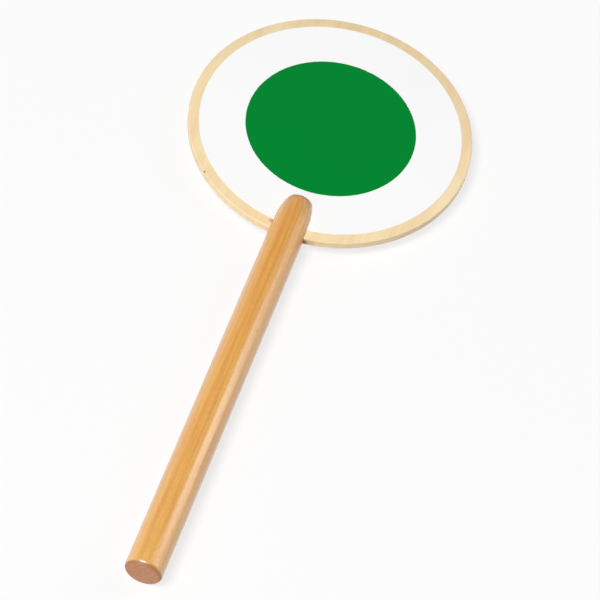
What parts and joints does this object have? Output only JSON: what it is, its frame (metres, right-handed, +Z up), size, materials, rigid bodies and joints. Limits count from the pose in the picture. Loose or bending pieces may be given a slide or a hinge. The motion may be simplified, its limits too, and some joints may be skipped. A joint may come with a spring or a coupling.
{
  "type": "train dispatch signal paddle",
  "caption": "Round plywood hand signal with a green spot on a white face, glued into the slotted nose of a turned and varnished wooden handle.",
  "frame": {"origin": "middle of the footprint, on the surface that the paddle lies on", "axes": "+Z up and square to the board, with the front face up; +Y along the handle's axis from the butt to the board; +X to the right of the front face when it is read with the handle below"},
  "size_m": [0.2, 0.4844, 0.025],
  "materials": {
    "beech_handle": "clear gloss varnish",
    "birch_face": "sanded and sealed, satin",
    "birch_cross": "sanded and sealed, satin",
    "white_film": "semi-gloss",
    "green_film": "semi-gloss"
  },
  "bodies": {
    "root": {"handle": "beech_handle", "front_face_veneer": "birch_face", "front_cross_veneer": "birch_cross", "core_veneer": "birch_face", "back_cross_veneer": "birch_cross", "back_face_veneer": "birch_face", "front_white_face": "white_film", "front_green_spot": "green_film", "back_white_face": "white_film", "back_green_spot": "green_film"}
  },
  "joints": []
}
